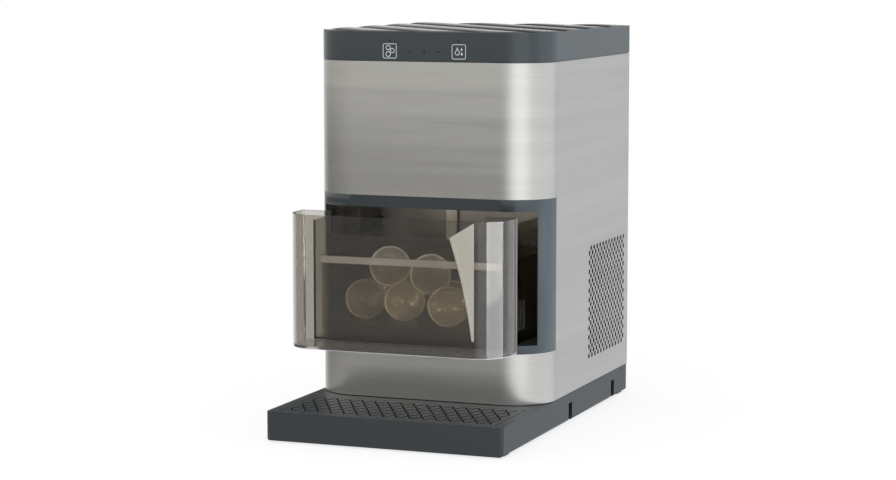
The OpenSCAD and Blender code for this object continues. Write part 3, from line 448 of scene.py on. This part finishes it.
# The ice turns from nearly clear seen straight on to white and milky towards the rim: a painted rim light,
# standing in for the light that runs along the rim. Over it lies a film of melt water with soft glints.
slant = add(tree, "LayerWeight", {"Blend": 0.5})
painted_rim_light = add(tree, "MapRange", {
    "Value": slant.outputs["Facing"], "From Min": 0.5, "From Max": 0.86, "To Min": 0.95, "To Max": 0.0})
ice = add(tree, "BsdfPrincipled", {
    "Base Color": linear("#f4f6f5"), "Roughness": 0.03, "IOR": 1.31,
    "Transmission Weight": painted_rim_light.outputs["Result"], "Normal": relief.outputs["Normal"],
    "Coat Weight": 1.0, "Coat Roughness": 0.22, "Coat IOR": 1.33})
lamp = add(tree, "BsdfTransparent", {"Color": linear("#f0f2f1")})
ray = add(tree, "LightPath")
look = add(tree, "MixShader", {
    0: ray.outputs["Is Shadow Ray"], 1: ice.outputs["BSDF"], 2: lamp.outputs["BSDF"]})
add(tree, "OutputMaterial", {"Surface": look.outputs["Shader"]})

seam_deep, seam_wide = 0.00022, 0.03
melt_deep = 0.00012
form = bmesh.new()
for turn, (x, y, z) in enumerate(heap):
    made = bmesh.ops.create_icosphere(form, subdivisions=5, radius=1.0)
    tilt = 0.7 * turn
    seam = Vector((math.sin(tilt) * 0.8, math.cos(tilt) * 0.8, 0.6)).normalized()
    centre = Vector((x, y + body_y, floor_z + ball_r + 0.00005 + z))
    for vert in made["verts"]:
        off = vert.co.dot(seam)
        seam_dip = seam_deep * math.exp(-(off / seam_wide) ** 2)
        melt_dip = melt_deep * (1 + math.sin(5 * vert.co.x + 4 * vert.co.z + turn))
        vert.co = centre + vert.co * (ball_r - seam_dip - melt_dip)
for face in form.faces:
    face.smooth = True
ice_heap = build("ice_heap", form, clear_ice)
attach(ice_heap, "drawer")
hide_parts("ice_balls")


# Freezing set above the chute: a milled aluminium mould half with a copper evaporator on it, a pale
# tilting tray below on a steel shaft, and a geared motor. All of it stands on the liner's ceiling.

milled_aluminium, tree = finish_named("aluminium_milled")
place = add(tree, "TexCoord").outputs["Object"]
cuts = add(tree, "TexWave", {"Vector": place, "Scale": 1 / 0.004, "Distortion": 0.6, "Detail": 2.0})
gloss = add(tree, "MapRange", {"Value": cuts.outputs["Fac"], "To Min": 0.26, "To Max": 0.4})
skin = add(tree, "BsdfPrincipled", {
    "Base Color": linear("#c9cbcd"), "Metallic": 1.0, "Roughness": gloss.outputs["Result"]})
add(tree, "OutputMaterial", {"Surface": skin.outputs["BSDF"]})
dress(milled_aluminium, "mould_block")
dress(pale_pp, "mould_tray", "water_tank")

drawn_copper, tree = finish_named("copper_tube_drawn")
place = add(tree, "TexCoord").outputs["Object"]
tarnish = add(tree, "TexNoise", {"Vector": place, "Scale": 1 / 0.012, "Detail": 4.0})
tint = add(tree, "MixRGB", {
    "Fac": tarnish.outputs["Fac"], "Color1": linear("#c27c52"), "Color2": linear("#8e5434")})
gloss = add(tree, "MapRange", {"Value": tarnish.outputs["Fac"], "To Min": 0.22, "To Max": 0.42})
skin = add(tree, "BsdfPrincipled", {
    "Base Color": tint.outputs["Color"], "Metallic": 1.0, "Roughness": gloss.outputs["Result"]})
add(tree, "OutputMaterial", {"Surface": skin.outputs["BSDF"]})
dress(drawn_copper, "evaporator_coil", "refrigerant_lines", "filter_drier")

turned_steel, tree = finish_named("steel_turned_zinc_plated")
place = add(tree, "TexCoord").outputs["Object"]
feed = add(tree, "TexNoise", {"Vector": place, "Scale": 1 / 0.001, "Detail": 2.0})
gloss = add(tree, "MapRange", {"Value": feed.outputs["Fac"], "To Min": 0.2, "To Max": 0.35})
skin = add(tree, "BsdfPrincipled", {
    "Base Color": linear("#c2c3c4"), "Metallic": 1.0, "Roughness": gloss.outputs["Result"]})
add(tree, "OutputMaterial", {"Surface": skin.outputs["BSDF"]})
dress(turned_steel, "tray_shaft", "panel_screws")
dress(black_pp, "tilt_motor", "water_pump")


# Supply hose: extruded silicone, milky and a little see-through. It is pushed over the pump's port and
# leads up to the mould.

silicone, tree = finish_named("silicone_extruded_milky")
place = add(tree, "TexCoord").outputs["Object"]
haze = add(tree, "TexNoise", {"Vector": place, "Scale": 1 / 0.01})
tint = add(tree, "MixRGB", {
    "Fac": haze.outputs["Fac"], "Color1": linear("#cfd4d5"), "Color2": linear("#dde1e2")})
skin = add(tree, "BsdfPrincipled", {
    "Base Color": tint.outputs["Color"], "Roughness": 0.4, "IOR": 1.41, "Subsurface Weight": 0.3,
    "Subsurface Scale": 0.003})
add(tree, "OutputMaterial", {"Surface": skin.outputs["BSDF"]})
dress(silicone, "supply_hose")


# Cooling set behind the liner: a compressor in a black painted shell, a condenser with black coated
# fins right behind the side vent, and an axial fan in its shroud.

black_paint, tree = finish_named("black_paint_sprayed")
place = add(tree, "TexCoord").outputs["Object"]
peel = add(tree, "TexNoise", {"Vector": place, "Scale": 1 / 0.003, "Detail": 2.0})
relief = add(tree, "Bump", {"Height": peel.outputs["Fac"], "Strength": 0.15, "Distance": 0.0002})
skin = add(tree, "BsdfPrincipled", {
    "Base Color": linear("#121314"), "Roughness": 0.28, "Normal": relief.outputs["Normal"]})
add(tree, "OutputMaterial", {"Surface": skin.outputs["BSDF"]})
dress(black_paint, "compressor", "condenser")
dress(black_pp, "fan_shroud", "fan_motor", "fan_blades")


# Rear fittings: a recessed power inlet with three pins and a drain spout, both moulded in black plastic
# and let into the rear panel.

dress(black_pp, "power_inlet", "drain_spout")


# Studio: a plain white floor and a white surround, a large soft lamp at the front right, one above,
# and pieces of round wall that only reflections see: grey behind the camera, paler at the right.

def seen_itself(tree):
    """1 for rays that show a surface to the camera, in a reflection or through glass, and 0 for others."""
    ray = add(tree, "LightPath")
    seen = add(tree, "Math", {
        0: ray.outputs["Is Camera Ray"], 1: ray.outputs["Is Glossy Ray"]}, operation="MAXIMUM")
    seen = add(tree, "Math", {
        0: seen.outputs["Value"], 1: ray.outputs["Is Transmission Ray"]}, operation="MAXIMUM")
    return seen.outputs["Value"]


floor_r = 1.3
white_floor, tree = finish_named("white_studio_floor")
matt = add(tree, "BsdfDiffuse", {"Color": linear("#f4f4f4")})
clean = add(tree, "Emission", {"Color": linear("#ffffff"), "Strength": 1.115})
part_of = add(tree, "Math", {0: seen_itself(tree), 1: 0.7}, operation="MULTIPLY")
look = add(tree, "MixShader", {
    0: part_of.outputs["Value"], 1: matt.outputs["BSDF"], 2: clean.outputs["Emission"]})
add(tree, "OutputMaterial", {"Surface": look.outputs["Shader"]})

form = bmesh.new()
bmesh.ops.create_circle(form, cap_ends=True, segments=96, radius=floor_r)
floor = build("floor", form, white_floor)
floor.visible_glossy = False
floor.visible_shadow = False

grey_wall, tree = finish_named("grey_studio_wall")
height = add(tree, "SeparateXYZ", {"Vector": add(tree, "TexCoord").outputs["Object"]})
off = add(tree, "Math", {0: height.outputs["Z"], 1: 0.3}, operation="ADD")
off = add(tree, "Math", {0: off.outputs["Value"]}, operation="ABSOLUTE")
level = add(tree, "MapRange", {
    "Value": off.outputs["Value"], "From Min": 0.3, "From Max": 0.9, "To Min": 0.19, "To Max": 1.38},
    interpolation_type="SMOOTHSTEP")
glow = add(tree, "Emission", {"Color": linear("#fdfcfa"), "Strength": level.outputs["Result"]})
add(tree, "OutputMaterial", {"Surface": glow.outputs["Emission"]})


wall_r = 4.2
wall_steps = 24


def curved_wall(name, finish, first, last, low, high):
    """A piece of round wall that only reflections see, between two bearings counted from the front to the
    right and between two heights."""
    form = bmesh.new()
    rows = []
    for k in range(wall_steps + 1):
        a = math.radians(first + k * (last - first) / wall_steps)
        rows.append([form.verts.new((wall_r * math.sin(a), -wall_r * math.cos(a), z)) for z in (low, high)])
    for a, b in zip(rows, rows[1:]):
        form.faces.new((a[0], b[0], b[1], a[1]))
    made = build(name, form, finish)
    made.visible_camera = False
    made.visible_diffuse = False
    made.visible_transmission = False
    made.visible_shadow = False


curved_wall("studio_wall", grey_wall, -115, 3, -2.5, 4.5)

# Behind the object a dark wall starts a little above the level of its top, so that the ribs of the
# cover show as dark and light streaks.
dark_wall, tree = finish_named("dark_studio_wall")
height = add(tree, "SeparateXYZ", {"Vector": add(tree, "TexCoord").outputs["Object"]})
level = add(tree, "MapRange", {
    "Value": height.outputs["Z"], "From Min": 0.5, "From Max": 0.75, "To Min": 1.0, "To Max": 0.03})
glow = add(tree, "Emission", {"Color": linear("#fdfcfa"), "Strength": level.outputs["Result"]})
add(tree, "OutputMaterial", {"Surface": glow.outputs["Emission"]})
curved_wall("studio_wall_back", dark_wall, 184, 222, 0.5, 3.0)

# A pale grey wall at the right rear takes the glare off the sides, and a white one beside it lights
# the round corner.
pale_wall, tree = finish_named("pale_grey_studio_wall")
glow = add(tree, "Emission", {"Color": linear("#f8faff"), "Strength": 0.78})
add(tree, "OutputMaterial", {"Surface": glow.outputs["Emission"]})
curved_wall("studio_wall_right_rear", pale_wall, 142, 180, -2.5, 4.5)
white_wall, tree = finish_named("white_studio_wall")
glow = add(tree, "Emission", {"Color": linear("#f3f8ff"), "Strength": 1.12})
add(tree, "OutputMaterial", {"Surface": glow.outputs["Emission"]})
curved_wall("studio_wall_right", white_wall, 98, 138, -2.5, 4.5)

world = bpy.data.worlds.new("white_surround")
bpy.context.scene.world = world
world.use_nodes = True
tree = world.node_tree
tree.nodes.clear()
soft = add(tree, "Background", {"Color": linear("#ffffff"), "Strength": 0.7})
white = add(tree, "Background", {"Color": linear("#ffffff"), "Strength": 1.0})
look = add(tree, "MixShader", {
    0: seen_itself(tree), 1: soft.outputs["Background"], 2: white.outputs["Background"]})
add(tree, "OutputWorld", {"Surface": look.outputs["Shader"]})


def soft_lamp(name, place, aim, wide, high, bright):
    """A rectangular soft lamp; bright is how white it looks, with 1 as the white of the surround."""
    data = bpy.data.lights.new(name, "AREA")
    data.shape = "RECTANGLE"
    data.size, data.size_y = wide, high
    data.energy = bright * wide * high * math.pi
    made = bpy.data.objects.new(name, data)
    made.location = place
    made.rotation_euler = (Vector(aim) - Vector(place)).to_track_quat("-Z", "Y").to_euler()
    made.visible_camera = False
    bpy.context.scene.collection.objects.link(made)
    return made


def shine_only_on(lamp, *pieces):
    """Lets a lamp light some pieces alone."""
    lit = bpy.data.collections.new(lamp.name + "_lights")
    for piece in pieces:
        lit.objects.link(piece)
    lamp.light_linking.receiver_collection = lit


front = soft_lamp("lamp_front_right", (1.75, -2.6, 0.9), (0.1, -0.05, 0.25), 2.4, 3.0, 0.7)
front.data.color = linear("#edf4ff")[:3]
soft_lamp("lamp_above", (0.0, -0.4, 2.6), (0.0, -0.05, 0.2), 2.0, 2.0, 1.0)

# A strong strip that only the drawer's clear front sees draws the white band down its round corner.
strip = soft_lamp("lamp_drawer_strip", (2.03, -0.775, 0.0), (0.044, -0.531, 0.0), 2.7, 1.6, 6.4)
shine_only_on(strip, parts["drawer_fascia"])

# One low at the front left lights only the ice and the duct, which the smoked walls leave dim.
ice_at = (0.0, -0.09, 0.15)
inner = soft_lamp("lamp_inside", (-0.45, -0.9, -0.06), ice_at, 0.16, 0.16, 950.0)
inner.data.color = linear("#e6f0ff")[:3]
shine_only_on(inner, ice_heap, parts["return_duct"])

# Two in front of the drawer and at its right light the rims of the ice balls through its walls.
shine_only_on(soft_lamp("lamp_ice", (-0.05, -1.05, 0.36), ice_at, 0.2, 0.15, 660.0), ice_heap)
shine_only_on(soft_lamp("lamp_ice_right", (0.95, -0.45, 0.1), ice_at, 0.2, 0.2, 320.0), ice_heap)

# Two weaker ones light the tub and the liner behind the drawer.
for name, place, aim, bright in (
        ("lamp_liner", (-0.35, -1.1, 0.12), (0.0, 0.0, 0.18), 38.0),
        ("lamp_liner_right", (1.0, -1.6, 0.2), (0.1, 0.0, 0.18), 16.0)):
    shine_only_on(soft_lamp(name, place, aim, 0.6, 0.4, bright), parts["ice_tub"], parts["cavity_liner"])

# One at the right lights the web in the drawer's front.
web_lamp = soft_lamp("lamp_web", (1.0, -1.6, 0.2), (0.1, -0.18, 0.2), 0.6, 0.4, 24.0)
web_lamp.data.color = linear("#e6efff")[:3]
shine_only_on(web_lamp, parts["fascia_web"])

# Two beside the object lift the right-hand faces of the dark plastic, and reflections don't see them.
for name, pieces, bright in (
        ("lamp_side", ("top_cover", "base_plinth"), 20.0),
        ("lamp_side_bezel", ("drawer_bezel",), 48.0)):
    side = soft_lamp(name, (1.6, 0.05, 0.25), (0.135, -0.05, 0.22), 0.6, 0.6, bright)
    side.data.color = linear("#fff8f2")[:3]
    side.visible_glossy = False
    shine_only_on(side, *(parts[piece] for piece in pieces))

# The drawer's walls and the ice stand one behind the other, so a ray crosses many surfaces.
paths = bpy.context.scene.cycles
paths.max_bounces = 32
paths.transmission_bounces = 32
paths.transparent_max_bounces = 32

camera_data = bpy.data.cameras.new("camera")
camera_data.lens = 99.68
camera_data.sensor_width = 36.0
camera = bpy.data.objects.new("camera", camera_data)
camera.location = (0.98563, -2.58729, 0.51841)
camera.rotation_euler = (math.radians(90 - 6.57), 0.0, math.radians(21.05))
bpy.context.scene.collection.objects.link(camera)
bpy.context.scene.camera = camera
bpy.context.scene.view_settings.view_transform = "Standard"
